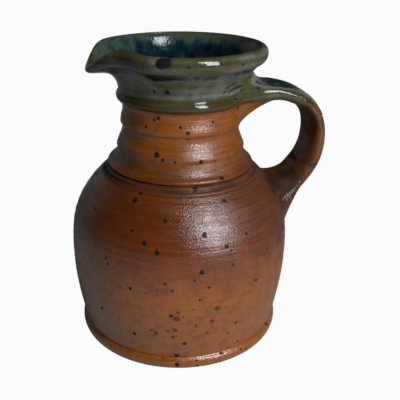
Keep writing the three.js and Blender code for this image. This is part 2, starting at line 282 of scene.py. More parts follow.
neck_inside = soft_line([(48.6, 196.2), (47.0, 192.6), (43.8, 187.6), (40.0, 182.6), (36.6, 177.2),
                         (34.6, 171.5), (33.0, 160.0), (33.4, 146.0), (36.4, 132.5), (41.6, 121.7)], 2.2)
neck_outside = ledge + collar + low_step + high_step + upper
neck = thrown(neck_outside + lip + neck_inside, True)
print("neck", len(neck_outside) + len(lip), "rows outside, crown", max(v.co.z for v in neck.verts) / MM)

# %% [markdown]
# ## The strap handle
# The handle is a strap pulled from wet clay with a wet hand, which leaves soft edges and long
# shallow grooves on its back. It could be a curve with a bevel, but its thickness changes from
# the root to the heel and both ends run into the wall. So rings of spots are set square to the
# strap's line and each pair of rings is bridged.

# %% Strap
ROOT_HEIGHT, HEEL_HEIGHT, SEAM_HEIGHT = 169.8, 94.0, 121.5
ROOT = Vector((radius_at(neck_outside, ROOT_HEIGHT), 0, ROOT_HEIGHT))
REACH = Vector((95.0, 0, 138))
HEEL = Vector((radius_at(belly_outside, HEEL_HEIGHT), 0, HEEL_HEIGHT))
ROOT_SLOPE, HEEL_SLOPE = Vector((1, 0, 0.075)), Vector((0.68, 0, 0.73))
TOP_FULLNESS, BACK_FULLNESS, DROP_FULLNESS, HEEL_FULLNESS = 36.0, 22.0, 18.5, 26.0
STRAP_WIDTH, ROOT_THICK, MID_THICK, HEEL_THICK = 34.0, 11.8, 10.2, 19.0
GROOVES, GROOVE_DEPTH, ROOT_ROUNDNESS, BACK_ROUNDNESS = 5, 0.7, 0.66, 0.86
IN_WALL_ROOT, IN_WALL_HEEL, WALL_DEPTH = 7.0, 12.0, 3.0
ROOT_SHARE, FLAT_SHARE, HEEL_SHARE, HEEL_SWELL = 0.45, 0.2, 0.42, 1.2
STRAP_SIDES, STRAP_STEP, LINE_SPOTS = 56, 1.8, 200

out, up, down = Vector((1, 0, 0)), Vector((0, 0, 1)), Vector((0, 0, -1))
strap_line = [ROOT - out * IN_WALL_ROOT]
strap_line += interpolate_bezier(ROOT, ROOT + ROOT_SLOPE * TOP_FULLNESS, REACH + up * BACK_FULLNESS,
                                 REACH, LINE_SPOTS)
strap_line += interpolate_bezier(REACH, REACH + down * DROP_FULLNESS, HEEL + HEEL_SLOPE * HEEL_FULLNESS,
                                 HEEL, LINE_SPOTS)[1:]
strap_line += [HEEL - HEEL_SLOPE * IN_WALL_HEEL]
strap_marks = [0.0]
for a, b in zip(strap_line, strap_line[1:]):
    strap_marks.append(strap_marks[-1] + (b - a).length)
STRAP_LENGTH = strap_marks[-1]


def strap_at(length):
    """Centre and direction of the strap at a length along it, in mm."""
    i = 1
    while i < len(strap_marks) - 1 and strap_marks[i] < length:
        i += 1
    share = (length - strap_marks[i - 1]) / (strap_marks[i] - strap_marks[i - 1])
    a, b = strap_line[i - 1], strap_line[i]
    before, after = strap_line[max(i - 2, 0)], strap_line[min(i + 1, len(strap_line) - 1)]
    slope = ((b - before).normalized() * (1 - share) + (after - a).normalized() * share).normalized()
    return a.lerp(b, share), slope


def groove_share(wide):
    """Depth of the pulling grooves from 0 to 1 across the strap, whose edges are at -1 and 1."""
    return 0.5 - 0.5 * math.cos(wide * math.pi * GROOVES)


def strap_spot(length, turn, grow=0.0):
    """A spot of the strap's skin in mm. A quarter turn is its back, three quarters its belly."""
    centre, slope = strap_at(length)
    share = length / STRAP_LENGTH
    thick = MID_THICK + (ROOT_THICK - MID_THICK) * max(0, 1 - share / ROOT_SHARE) ** 2
    thick += (HEEL_THICK - MID_THICK) * max(0, (share - HEEL_SHARE) / (1 - HEEL_SHARE)) ** HEEL_SWELL
    c, s = math.cos(turn), math.sin(turn)
    rounded = smooth_step(share, FLAT_SHARE, ROOT_SHARE)
    roundness = ROOT_ROUNDNESS + (BACK_ROUNDNESS - ROOT_ROUNDNESS) * rounded
    wide = math.copysign(abs(c) ** roundness, c)
    deep = math.copysign(abs(s) ** roundness, s)
    groove = GROOVE_DEPTH * s * groove_share(wide) if s > 0 else 0
    outwards = Vector((-slope.z, 0, slope.x))
    across = wide * (STRAP_WIDTH / 2 + grow)
    return centre + Vector((0, across, 0)) + outwards * (deep * (thick / 2 + grow) - groove)


def wall_radius(height):
    return radius_at(neck_outside if height > SEAM_HEIGHT else belly_outside, height)


def held_in_wall(spot):
    """The spot, or where it would break through the wall, the spot at the wall's mid depth."""
    least = wall_radius(spot.z) - WALL_DEPTH
    radius = math.hypot(spot.x, spot.y)
    return spot if radius > least else Vector((spot.x * least / radius, spot.y * least / radius, spot.z))


def ring_of(mesh, spots):
    """A closed ring of edges through spots given in mm."""
    corners = [mesh.verts.new(spot * MM) for spot in spots]
    return [mesh.edges.new((a, b)) for a, b in zip(corners, corners[1:] + corners[:1])]


def turn_of(side):
    return 2 * math.pi * side / STRAP_SIDES


strap = bmesh.new()
strap_rings = []
for step in range(math.ceil(STRAP_LENGTH / STRAP_STEP) + 1):
    length = min(step * STRAP_STEP, STRAP_LENGTH)
    spots = [held_in_wall(strap_spot(length, turn_of(i))) for i in range(STRAP_SIDES)]
    strap_rings.append(ring_of(strap, spots))
for ring, follow in zip(strap_rings, strap_rings[1:]):
    bmesh.ops.bridge_loops(strap, edges=ring + follow)
for end in (strap_rings[0], strap_rings[-1]):
    bmesh.ops.contextual_create(strap, geom=end)
bmesh.ops.recalc_face_normals(strap, faces=strap.faces)
print("strap", round(STRAP_LENGTH), "mm long,", len(strap_rings), "rings")

# %% [markdown]
# ## Luting clay
# A handle is not pressed on dry. Soft clay is smeared round each end and drawn out with a
# thumb, which makes a hollow fillet between strap and wall. A Bevel can't round two meshes that
# only pass through each other. So each line of the fillet starts along the strap, turns at the
# corner and ends along the wall: a Bezier arc whose last point is found on the wall itself.

# %% Fillets
pot = bmesh.new()
for piece in (belly, neck):
    held = bpy.data.meshes.new("held")
    piece.to_mesh(held)
    pot.from_mesh(held)
    bpy.data.meshes.remove(held)
wall = BVHTree.FromBMesh(pot)
FILLET_ROWS, SUNK, SQUARENESS, FAR_OUT = 16, 0.15, 0.85, 80.0
SEARCH_AHEAD, SEARCH_STEP, BURIED_LENGTH, BURIED_DEPTH = 7.0, 0.4, 3.0, 2.5


def inside_wall(spot):
    return math.hypot(spot.x, spot.y) < wall_radius(spot.z)


def fillet(from_root, reach, spread, hollow):
    """Rings of a fillet between strap and wall, and the strap's length where each line starts.
    Its reach along the strap, its spread on the wall and its hollow, from a straight web at 0 to
    a sharp corner at 1, go by the turn."""
    rows, starts = [[] for _ in range(FILLET_ROWS + 2)], []
    sign = 1 if from_root else -1
    at_wall = IN_WALL_ROOT if from_root else STRAP_LENGTH - IN_WALL_HEEL
    half_thick = (ROOT_THICK if from_root else HEEL_THICK) / 2
    centre, slope = strap_at(at_wall)
    outwards = Vector((-slope.z, 0, slope.x))
    for side in range(STRAP_SIDES):
        turn = turn_of(side)
        c, s = math.cos(turn), math.sin(turn)
        length = at_wall + sign * SEARCH_AHEAD
        while (not inside_wall(strap_spot(length, turn))
               and SEARCH_STEP < length < STRAP_LENGTH - SEARCH_STEP):
            length -= sign * SEARCH_STEP
        corner = strap_spot(length, turn)
        starts.append(length + sign * reach(turn))
        start = strap_spot(starts[-1], turn, -SUNK)
        wide, deep = math.copysign(abs(c) ** SQUARENESS, c), math.copysign(abs(s) ** SQUARENESS, s)
        over = centre + Vector((0, wide * (STRAP_WIDTH / 2 + spread(turn)), 0))
        over += outwards * deep * (half_thick + spread(turn))
        inwards = Vector((-over.x, -over.y, 0)).normalized()
        found, normal, _, _ = wall.ray_cast((over - inwards * FAR_OUT) * MM, inwards)
        end = found / MM - normal * SUNK
        along_wall = corner - end
        along_wall -= normal * along_wall.dot(normal)
        bend = hollow(turn)
        handles = start.lerp(corner, bend), end + along_wall * bend
        arc = interpolate_bezier(start, *handles, end, FILLET_ROWS + 1)
        for row, spot in zip(rows, arc):
            row.append(spot)
        rows[-1].append(held_in_wall(strap_spot(length - sign * BURIED_LENGTH, turn, -BURIED_DEPTH)))
    return rows, starts


def ring_solid(rows):
    """A closed ring-shaped solid bridged through rows of spots and back to the first."""
    mesh = bmesh.new()
    rings = [ring_of(mesh, row) for row in rows]
    for ring, follow in zip(rings, rings[1:] + rings[:1]):
        bmesh.ops.bridge_loops(mesh, edges=ring + follow)
    bmesh.ops.recalc_face_normals(mesh, faces=mesh.faces)
    return mesh


def by_side(top, side, under):
    """A size that differs on the strap's back, edges and belly, blended round the turn."""
    return lambda turn: (side * math.cos(turn) ** 2
                         + (top if math.sin(turn) > 0 else under) * math.sin(turn) ** 2)


upper_rows, upper_starts = fillet(True, by_side(20, 24, 28), by_side(12, 16, 17), by_side(0.5, 0.55, 0.25))
lower_rows, _ = fillet(False, by_side(30, 18, 20), by_side(23, 11, 15), by_side(0.16, 0.5, 0.5))
upper_lute = ring_solid(upper_rows)
lower_lute = ring_solid(lower_rows)
print("fillets of", FILLET_ROWS, "rows at root and heel")

# %% [markdown]
# ## The dipped glaze
# The pot was held upside down and dipped, so the glaze ends on one level line round the neck,
# with a thin rolled edge where it dried. It could be painted on by a material alone, but a real
# coat has a thickness that catches light along that edge. So the coat is the neck's own line
# moved out by half a millimetre and closed just under the clay's skin.

# %% Glaze on the rim
COAT, KEYED, OVER_CROWN = 0.45, 0.2, 3
crown = max(range(len(lip)), key=lambda i: lip[i][1])
coat_line = upper + lip[:crown + OVER_CROWN]
coat_face = beside(coat_line, COAT)
coat_back = beside(coat_line, -KEYED)
rolled_edge = [(40.3, BEAD_FOOT - 0.25), (40.75, BEAD_FOOT - 0.1)]
BEAD_THIN, BEAD_TOP, BEAD_BLEND = 0.46, 171.6, 2.6
# Thin glaze on lip and crown; the last band, below zero, is painted shade under the lip.
THIN_EDGES_AND_LIP_SHADE = ((195.5, 3.5, 0.35), (199.9, 1.0, 0.2), (188.4, 3.2, -0.42))


def thin_glaze(r, z):
    """How thin the glaze ran at a height: towards 1 on bead and lip, below 0 in painted shade under the
    lip.
    """
    on_bead = BEAD_THIN * (1 - smooth_step(z, BEAD_TOP, BEAD_TOP + BEAD_BLEND))
    return on_bead + sum(share * bell(z, at, wide) for at, wide, share in THIN_EDGES_AND_LIP_SHADE)


rim_coat = thrown(rolled_edge + coat_face + coat_back[::-1], True, {"thin": thin_glaze})
print("rim coat", COAT, "mm thick over", len(coat_line), "rows")

# %% [markdown]
# ## The glaze inside
# The inside was filled and poured out, so the glaze lines the pot from the floor to the lip.
# It starts just under the coat that rolled over the rim, and is thin on the lip and beside the
# spout, where it was poured out.

# %% Liner
THROAT_SHARE, LIP_THIN, SPOUT_THIN = 0.8, 0.6, 0.62
THIN_FOOT, LIP_FOOT, LIP_TOP, SPOUT_FAR = 174.0, 190.0, 199.5, 50.0
throat_line = neck_inside[::-1] + lip[crown:][::-1]
liner_face = [(0, FLOOR + COAT)] + beside(belly_inside[::-1], -COAT)
liner_face += beside(throat_line, -COAT * THROAT_SHARE)
liner_back = beside(throat_line[::-1], KEYED) + beside(belly_inside, KEYED) + [(0, FLOOR - KEYED)]
liner = thrown(liner_face + liner_back, False)
thin_mark = liner.verts.layers.float.new("thin")
for spot in liner.verts:
    x, _, z = spot.co / MM
    over_lip = LIP_THIN * smooth_step(z, LIP_FOOT, LIP_TOP)
    by_spout = SPOUT_THIN * smooth_step(-x, 0, SPOUT_FAR) * smooth_step(z, THIN_FOOT, LIP_FOOT)
    spot[thin_mark] = max(over_lip, by_spout)
print("liner of", len(liner_face), "rows")

# %% [markdown]
# ## The glaze on the handle
# The dip also covered the handle's back, down to the same level and a little lower where it
# ran. The coat is drawn like the strap: a thin loop over back and edges at each place along the
# fillet and the strap, bridged to the next loop. It thins to nothing at its far end.

# %% Glaze on the handle
GLAZE_END, RUN_LENGTH, RUN_TIP = 72.0, 32.0, 5.0
RUN_UNEVEN, RUN_WAVES, RUN_SEED = 0.09, 2.2, 4.1
DIP_LEVEL, RUN_DROP, RUN_START = 165.4, 26.0, 30.0
GLAZE_SIDES, GLAZE_STEPS, DRAW_START = 72, 28, 36.0
EDGE_FULL, EDGE_DRAWN, EDGE_MOST = math.radians(-50), math.radians(62), math.radians(66)
EDGE_STEP, COAT_DEPTH, PROUD, THIN_AT_WALL, FULL_AFTER = 0.02, 0.5, 0.02, 0.7, 8.0
BACK_START, BACK_FULL, POOL_FULL = 8.0, 20.0, 34.0
RUN_THIN, EDGE_THIN, BACK_DEEP, POOL_DEEP = 1.2, 0.3, 0.74, 0.36


def glaze_level(length):
    """Height of the glaze's edge beside the strap, lower along the run."""
    return DIP_LEVEL - RUN_DROP * smooth_step(length, RUN_START, GLAZE_END)


def glaze_spot(place, turn, offset):
    """A spot over fillet or strap. Places to 1 go down the fillet, from 1 to 2 along the strap."""
    side = turn / (2 * math.pi) * STRAP_SIDES
    low = math.floor(side)
    first, second = low % STRAP_SIDES, (low + 1) % STRAP_SIDES
    if place > 1:
        start = upper_starts[first] + (upper_starts[second] - upper_starts[first]) * (side - low)
        end = GLAZE_END * (1 + RUN_UNEVEN * noise.noise(Vector((turn * RUN_WAVES, RUN_SEED, 0))))
        return strap_spot(start + (end - start) * (place - 1), turn, offset)
    at = FILLET_ROWS - round(place * FILLET_ROWS)
    spot = upper_rows[at][first].lerp(upper_rows[at][second], side - low)
    before, after = upper_rows[max(at - 1, 0)], upper_rows[min(at + 1, FILLET_ROWS)]
    round_it = upper_rows[at][second] - upper_rows[at][first]
    return spot + round_it.cross(after[first] - before[first]).normalized() * -offset


glaze_places = [row / FILLET_ROWS for row in range(FILLET_ROWS + 1)]
glaze_places += [1 + k / GLAZE_STEPS for k in range(1, GLAZE_STEPS + 1)]
mean_start = sum(upper_starts) / len(upper_starts)
handle_coat = bmesh.new()
thin_mark = handle_coat.verts.layers.float.new("thin")
coat_rings = []
for place in glaze_places:
    if place > 1:
        length = mean_start + (GLAZE_END - mean_start) * (place - 1)
    else:
        length = IN_WALL_ROOT + (mean_start - IN_WALL_ROOT) * place
    run_out = smooth_step(length, GLAZE_END - RUN_LENGTH, GLAZE_END)
    drawn_back = smooth_step(length, DRAW_START, GLAZE_END)
    edge_turn = EDGE_FULL + (EDGE_DRAWN - EDGE_FULL) * drawn_back
    while edge_turn < EDGE_MOST and glaze_spot(place, edge_turn, 0).z < glaze_level(length):
        edge_turn += EDGE_STEP
    turns = [edge_turn + (math.pi - 2 * edge_turn) * i / (GLAZE_SIDES - 1) for i in range(GLAZE_SIDES)]
    from_wall = smooth_step(length, IN_WALL_ROOT, IN_WALL_ROOT + FULL_AFTER)
    thickness = COAT * (THIN_AT_WALL + (1 - THIN_AT_WALL) * from_wall) + PROUD
    thickness -= COAT * smooth_step(length, GLAZE_END - RUN_TIP, GLAZE_END)
    face = [glaze_spot(place, turn, thickness) for turn in turns]
    back = [glaze_spot(place, turn, -COAT_DEPTH) for turn in turns]
    ring = ring_of(handle_coat, face + back[::-1])
    for turn, edge in zip(turns + turns[::-1], ring):
        pooled = groove_share(math.cos(turn)) * smooth_step(length, BACK_FULL, POOL_FULL) * (1 - run_out)
        pooled *= smooth_step(math.sin(turn), 0.6, 0.8)
        on_back = smooth_step(math.sin(turn), 0.35, 0.75) * smooth_step(length, BACK_START, BACK_FULL)
        thin = run_out * RUN_THIN + EDGE_THIN - BACK_DEEP * on_back - POOL_DEEP * pooled
        edge.verts[0][thin_mark] = thin
    coat_rings.append(ring)
for ring, follow in zip(coat_rings, coat_rings[1:]):
    bmesh.ops.bridge_loops(handle_coat, edges=ring + follow)
for end in (coat_rings[0], coat_rings[-1]):
    corners = [edge.verts[0] for edge in end]
    for i in range(GLAZE_SIDES - 1):
        strip = [corners[i], corners[i + 1], corners[-2 - i], corners[-1 - i]]
        bmesh.ops.contextual_create(handle_coat, geom=strip)
bmesh.ops.recalc_face_normals(handle_coat, faces=handle_coat.faces)
print("handle coat of", len(coat_rings), "loops, ends at", GLAZE_END, "mm")

# %% [markdown]
# ## Where the fire darkened the clay, and where shade is painted
# In a wood or gas kiln the bare clay blushes dark where ash and flame linger: round the lower
# joint and up the strap. The same dark number also holds painted shade: in the cut grooves under
# the ledge, in the neck's creases, on the strap's inner face and over the belly's right flank.
# A material can't know the joint, so each spot of the clay gets a number, for its toasting and
# painted shade, from its place, and the material reads it.

# %% Toast
JOINT, JOINT_NEAR, FLANK_SHADE_WIDE = Vector((66, -14, 104)) * MM, 22.0, 80.0
GRIP = Vector((64, 0, 132)) * MM
PATCH, SMUDGE, STREAK_LONG, STREAK_HIGH = 14.0, 6.0, 11.0, 2.4
UNDER_LEDGE, LOW_COLLAR, CREASES, CREASE_WIDE = (118.8, 2.2), (128.3, 3.0), (133.6, 149.0), 0.9
SHOULDER, LEDGE, STRAP_START, STRAP_FOOT = (104, 116), (119, 121), (60, 84), (92, 116)
BEHIND_JOINT, RUN_END = (72, 80), (128, 150)


def mottled(place, size):
    return noise.noise(place / MM / size) * 0.5 + 0.5


def toast_and_shade_of(place, normal):
    """Toasting and painted shade of a spot from 0 to 1, by height, reach, side and distance from the
    joint.
    """
    x, y, z = place / MM
    patchy = mottled(place, PATCH)
    streaky = max(0, noise.noise(Vector((x / STREAK_LONG, y / STREAK_LONG, z / STREAK_HIGH))))
    # Painted shade: the cut grooves under the ledge are darkened, with some mottling.
    under_ledge_shade = bell(z, *UNDER_LEDGE) * (0.5 + 0.5 * patchy)
    below_it = smooth_step(z, *SHOULDER) * (1 - smooth_step(z, *LEDGE)) * streaky * 0.5
    low_collar = bell(z, *LOW_COLLAR) * (0.05 + 0.85 * streaky)
    # Painted shade: a dark mottled line in each crease between the neck's steps.
    crease_shade = max(bell(z, at, CREASE_WIDE) for at in CREASES) * 0.6 * patchy
    from_joint = (place - JOINT).length / MM
    at_joint = bell(from_joint, 0, JOINT_NEAR) * (0.4 + 1.4 * mottled(place, SMUDGE))
    # Painted shade: a broad darkening, up to half strength, over the belly's right flank round the joint.
    flank_shade = bell(from_joint, 0, FLANK_SHADE_WIDE) * 0.5 * (1 - smooth_step(x, *BEHIND_JOINT))
    # Painted shade: the strap's faces that look into the loop, towards the wall, are a little darker.
    inner = smooth_step(normal.dot((GRIP - place).normalized()), -0.2, 0.6)
    on_strap = 0.16 + 0.24 * patchy + 0.06 * inner + 0.4 * smooth_step(z, *RUN_END)
    on_strap *= smooth_step(x, *STRAP_START) * smooth_step(z, *STRAP_FOOT)
    return min(1, max(under_ledge_shade, below_it, low_collar, crease_shade, at_joint, flank_shade, on_strap))


for mesh in (belly, neck, strap, upper_lute, lower_lute):
    layer = mesh.verts.layers.float.new("toast_and_shade")
    mesh.normal_update()
    for spot in mesh.verts:
        spot[layer] = toast_and_shade_of(spot.co, spot.normal)
print("toast marked on", sum(len(m.verts) for m in (belly, neck, strap, upper_lute, lower_lute)), "spots")

# %% [markdown]
# ## Pieces into the scene
# Now each mesh becomes an object that rides on the pot's one body and hides the solid that it
# stands for.

# %% Pieces
belly_piece = finished(belly, "belly_clay", ["body"])
neck_piece = finished(neck, "neck_clay", ["neck"])
strap_piece = finished(strap, "strap_clay", ["handle"])
upper_lute_piece = finished(upper_lute, "upper_lute_clay", ["upper_lute"])
lower_lute_piece = finished(lower_lute, "lower_lute_clay", ["lower_lute"])
rim_coat_piece = finished(rim_coat, "rim_glaze_coat", ["rim_glaze"])
liner_piece = finished(liner, "liner_glaze_coat", ["liner_glaze"])
handle_coat_piece = finished(handle_coat, "handle_glaze_coat", ["handle_glaze"])

# %% [markdown]
# ## A node in one line
# Materials are trees of nodes. One small function adds a node, sets its options and fills its
# sockets: a socket given as a value is set, and one given as another node's output is linked.
# Colours are written as they look on screen and turned to linear light once, here. Clay and
# glazes all hold small iron dots, so these have a function of their own.

# %% Nodes and colours
DOT_EDGE = 28.0


def linear(hex_colour):
    parts = [int(hex_colour[i:i + 2], 16) / 255 for i in (1, 3, 5)]
    return tuple(p / 12.92 if p < 0.04045 else ((p + 0.055) / 1.055) ** 2.4 for p in parts) + (1,)


def add(tree, kind, sockets=None, stops=None, **options):
    made = tree.nodes.new("ShaderNode" + kind)
    for option, value in options.items():
        setattr(made, option, value)
    for socket, value in (sockets or {}).items():
        if isinstance(value, bpy.types.NodeSocket):
            tree.links.new(value, made.inputs[socket])
        else:
            made.inputs[socket].default_value = value
    for i, (place, colour) in enumerate(stops or []):
        ramp = made.color_ramp.elements
        stop = ramp[i] if i < 2 else ramp.new(place)
        stop.position = place
        stop.color = linear(colour) if isinstance(colour, str) else (colour,) * 3 + (1,)
    return made


def per_mm(size):
    """Texture scale at which one cycle takes this many millimetres."""
    return 1 / (size * MM)


def iron_dots(tree, place, under, apart, least, largest, colour):
    """A colour with small dots over it, so many mm apart, in cells whose chance is enough."""
    cells = add(tree, "TexVoronoi", {"Vector": place, "Scale": per_mm(apart), "Randomness": 1.0})
    chance = add(tree, "SeparateColor", {0: cells.outputs["Color"]}).outputs[0]
    size = add(tree, "MapRange", {0: chance, 1: least, 2: 1.0, 3: 0.0, 4: largest})
    inside = add(tree, "Math", {0: size.outputs[0], 1: cells.outputs["Distance"]}, operation="SUBTRACT")
    share = add(tree, "Math", {0: inside.outputs[0], 1: DOT_EDGE}, operation="MULTIPLY", use_clamp=True)
    dotted = add(tree, "Mix", {0: share.outputs[0], 6: under, 7: linear(colour)}, data_type="RGBA")
    return dotted.outputs[2]


def new_material(name):
    made = bpy.data.materials.new(name)
    made.use_nodes = True
    made.node_tree.nodes.clear()
    return made, made.node_tree


print("middle grey is", round(linear("#808080")[0], 3), "in linear light")

# %% [markdown]
# ## Toasted stoneware
# The clay is an iron-bearing stoneware, thrown, left bare and flashed by the flame, which gives
# a satin skin: orange-tan below, brown-red at the shoulder, with a fine orange peel that breaks
# every highlight into grains. Height picks the main colour, large noise mottles it, noise drawn
# out along the horizon is the throwing, and the mesh's number for toasting and painted shade
# turns it dark and dull. Small iron specks come from Voronoi cells of which only some hold a
# speck. Noise sizes are in millimetres.

# %% Clay
POT_HEIGHT, LEVEL_SHIFT = 0.2, 0.045
CLAY_BY_HEIGHT = [(0.0, "#a15a14"), (0.16, "#a75f20"), (0.26, "#a95d17"), (0.4, "#7d3a02"),
                  (0.52, "#743300"), (0.6, "#763e10"), (0.68, "#995616"), (0.8, "#a55b12")]
clay, tree = new_material("toasted_stoneware_with_painted_shade")
place = add(tree, "TexCoord").outputs["Object"]
height = add(tree, "SeparateXYZ", {0: place}).outputs["Z"]
mottle = add(tree, "TexNoise", {"Vector": place, "Scale": per_mm(26), "Detail": 5, "Roughness": 0.6})
shifted = add(tree, "Math", {0: mottle.outputs["Fac"], 1: LEVEL_SHIFT, 2: -LEVEL_SHIFT / 2},
              operation="MULTIPLY_ADD")
raised = add(tree, "Math", {0: height, 1: shifted.outputs[0]}, operation="ADD")
level = add(tree, "Math", {0: raised.outputs[0], 1: POT_HEIGHT}, operation="DIVIDE")
by_height = add(tree, "ValToRGB", {"Fac": level.outputs[0]}, CLAY_BY_HEIGHT)
band = add(tree, "Mapping", {"Vector": place, "Scale": (per_mm(38), per_mm(38), per_mm(1.3))})
throwing = add(tree, "TexNoise", {"Vector": band.outputs[0], "Scale": 1.0, "Detail": 3, "Roughness": 0.55})
streak = add(tree, "ValToRGB", {"Fac": throwing.outputs["Fac"]}, [(0.3, 0.9), (0.7, 1.08)])
lined = add(tree, "Mix", {0: 1.0, 6: by_height.outputs[0], 7: streak.outputs[0]},
            data_type="RGBA", blend_type="MULTIPLY")
patch = add(tree, "TexNoise", {"Vector": place, "Scale": per_mm(8), "Detail": 6, "Roughness": 0.72})
patch_share = add(tree, "ValToRGB", {"Fac": patch.outputs["Fac"]}, [(0.5, 0.0), (0.74, 0.5)])
patched = add(tree, "Mix", {0: patch_share.outputs[0], 6: lined.outputs[2], 7: linear("#5a3014")},
              data_type="RGBA")
toast_and_shade = add(tree, "Attribute", attribute_name="toast_and_shade").outputs["Fac"]
rough_toast_and_shade = add(tree, "Math", {0: patch.outputs["Fac"], 1: 0.7, 2: -0.35}, operation="MULTIPLY_ADD")
toast_and_shade_edge = add(tree, "Math", {0: toast_and_shade, 1: rough_toast_and_shade.outputs[0]}, operation="ADD", use_clamp=True)
# Toasting and painted shade: the mesh's number mixes in dark brown here.
toasted_and_shaded = add(tree, "Mix", {0: toast_and_shade_edge.outputs[0], 6: patched.outputs[2], 7: linear("#2f1b0c")},
              data_type="RGBA")
specked = iron_dots(tree, place, toasted_and_shaded.outputs[2], 4.4, 0.4, 0.15, "#23211f")
peel = add(tree, "TexNoise", {"Vector": place, "Scale": per_mm(1.0), "Detail": 2, "Roughness": 0.6})
grain = add(tree, "Math", {0: throwing.outputs["Fac"], 1: 0.8, 2: peel.outputs["Fac"]},
            operation="MULTIPLY_ADD")
bump = add(tree, "Bump", {"Strength": 1.0, "Distance": 0.27 * MM, "Height": grain.outputs[0]})
dull = add(tree, "Math", {0: throwing.outputs["Fac"], 1: 0.9, 2: toast_and_shade_edge.outputs[0]},
           operation="MULTIPLY_ADD")
gloss = add(tree, "MapRange", {0: dull.outputs[0], 1: 0.38, 2: 1.15, 3: 0.075, 4: 0.72})
sheen = add(tree, "MapRange", {0: toast_and_shade_edge.outputs[0], 1: 0.0, 2: 0.8, 3: 0.76, 4: 0.22})
skin = add(tree, "BsdfPrincipled", {"Base Color": specked, "Roughness": gloss.outputs[0], "IOR": 1.64,
                                    "Specular IOR Level": sheen.outputs[0], "Normal": bump.outputs[0]})
add(tree, "OutputMaterial", {"Surface": skin.outputs[0]})
for piece in (belly_piece, neck_piece, strap_piece, upper_lute_piece, lower_lute_piece):
    piece.data.materials.append(clay)
print("clay of", len(tree.nodes), "nodes")

# %% [markdown]
# ## Dipped ash glaze
# The glaze is a wood-ash glaze, melted to glass: olive where it is thin, blue-green where it
# pooled, and brown where it broke over an edge. It is glossy, with soft waves and streaks that
# ran down while it was molten, over faint rings from the wheel. The number for thin glaze comes
# with the mesh, noise drawn out along the height gives the runs, and noise drawn out along the
# horizon the rings.

# %% Glaze
GLAZE_STOPS, GLOSS_SPAN = (0.0, 0.22, 0.48, 0.82, 1.0), 0.08
# The deepest dip colour is pooled glaze in the handle's grooves and painted shade under the lip.
DIP_COLOURS = "#1a2a29", "#70756a", "#505237", "#463819", "#644423"
# The liner's near-black deep colours are partly a dark glaze and partly painted shade inside the mouth.
LINER_COLOURS_WITH_MOUTH_SHADE = "#02080d", "#040e14", "#10282e", "#42544c", "#4f4e38"


def ash_glaze(name, colours, gloss_low, rings, waves):
    """A wood-ash glaze. Its colours go from the deepest glaze to where the clay shows through."""
    made, tree = new_material(name)
    place = add(tree, "TexCoord").outputs["Object"]
    thin = add(tree, "Attribute", attribute_name="thin").outputs["Fac"]
    cloud = add(tree, "TexNoise", {"Vector": place, "Scale": per_mm(20), "Detail": 5, "Roughness": 0.62})
    run_map = add(tree, "Mapping", {"Vector": place, "Scale": (per_mm(7), per_mm(7), per_mm(16))})
    runs = add(tree, "TexNoise", {"Vector": run_map.outputs[0], "Scale": 1.0, "Detail": 4,
                                  "Roughness": 0.6})
    ring_map = add(tree, "Mapping", {"Vector": place, "Scale": (per_mm(30), per_mm(30), per_mm(2.4))})
    ring = add(tree, "TexNoise", {"Vector": ring_map.outputs[0], "Scale": 1.0, "Detail": 3,
                                  "Roughness": 0.6})
    ran = add(tree, "Math", {0: runs.outputs["Fac"], 1: 1 - rings, 2: cloud.outputs["Fac"]},
              operation="MULTIPLY_ADD")
    ringed = add(tree, "Math", {0: ring.outputs["Fac"], 1: rings, 2: ran.outputs[0]},
                 operation="MULTIPLY_ADD")
    depth = add(tree, "Math", {0: thin, 1: 0.75, 2: ringed.outputs[0]}, operation="MULTIPLY_ADD")
    share = add(tree, "MapRange", {0: depth.outputs[0], 1: 0.64, 2: 1.6, 3: 0.0, 4: 1.0})
    colour = add(tree, "ValToRGB", {"Fac": share.outputs[0]}, list(zip(GLAZE_STOPS, colours)))
    specked = iron_dots(tree, place, colour.outputs[0], 8, 0.5, 0.09, "#17140e")
    wave = add(tree, "TexNoise", {"Vector": place, "Scale": per_mm(waves), "Detail": 3, "Roughness": 0.55})
    bump = add(tree, "Bump", {"Strength": 0.7, "Distance": 0.25 * MM, "Height": wave.outputs["Fac"]})
    gloss = add(tree, "MapRange", {0: runs.outputs["Fac"], 1: 0.3, 2: 0.7, 3: gloss_low,
                                   4: gloss_low + GLOSS_SPAN})
    glass = add(tree, "BsdfPrincipled", {"Base Color": specked, "Roughness": gloss.outputs[0], "IOR": 1.52,
                                         "Normal": bump.outputs[0]})
    add(tree, "OutputMaterial", {"Surface": glass.outputs[0]})
    print(name, "of", len(tree.nodes), "nodes")
    return made


dip_glaze = ash_glaze("ash_glaze_dipped", DIP_COLOURS, 0.035, 0.6, 6.0)
liner_glaze = ash_glaze("ash_glaze_poured_and_shaded", LINER_COLOURS_WITH_MOUTH_SHADE, 0.05, 0.1, 1.9)
for piece in (rim_coat_piece, handle_coat_piece):
    piece.data.materials.append(dip_glaze)
liner_piece.data.materials.append(liner_glaze)

# %% [markdown]
# ## Iron specks
# Coarse iron grains in the clay melted in the fire and bled blue-black spots, some flat, some
# blistered. The small ones are in the materials. The large ones are real crusts on the skin,
# read off the picture with their width in pixels, found on the pot along the sight line, and
# each is a small flattened ball pressed onto the surface. A few wiped brush marks beside the
# handle are laid out the same way, and so are the small drops of melted ash on the strap's edge
# and at its heel, whose pale grey colour is a painted highlight where they glint. On the far
# side, which the picture doesn't show, seeded chance sets the specks.

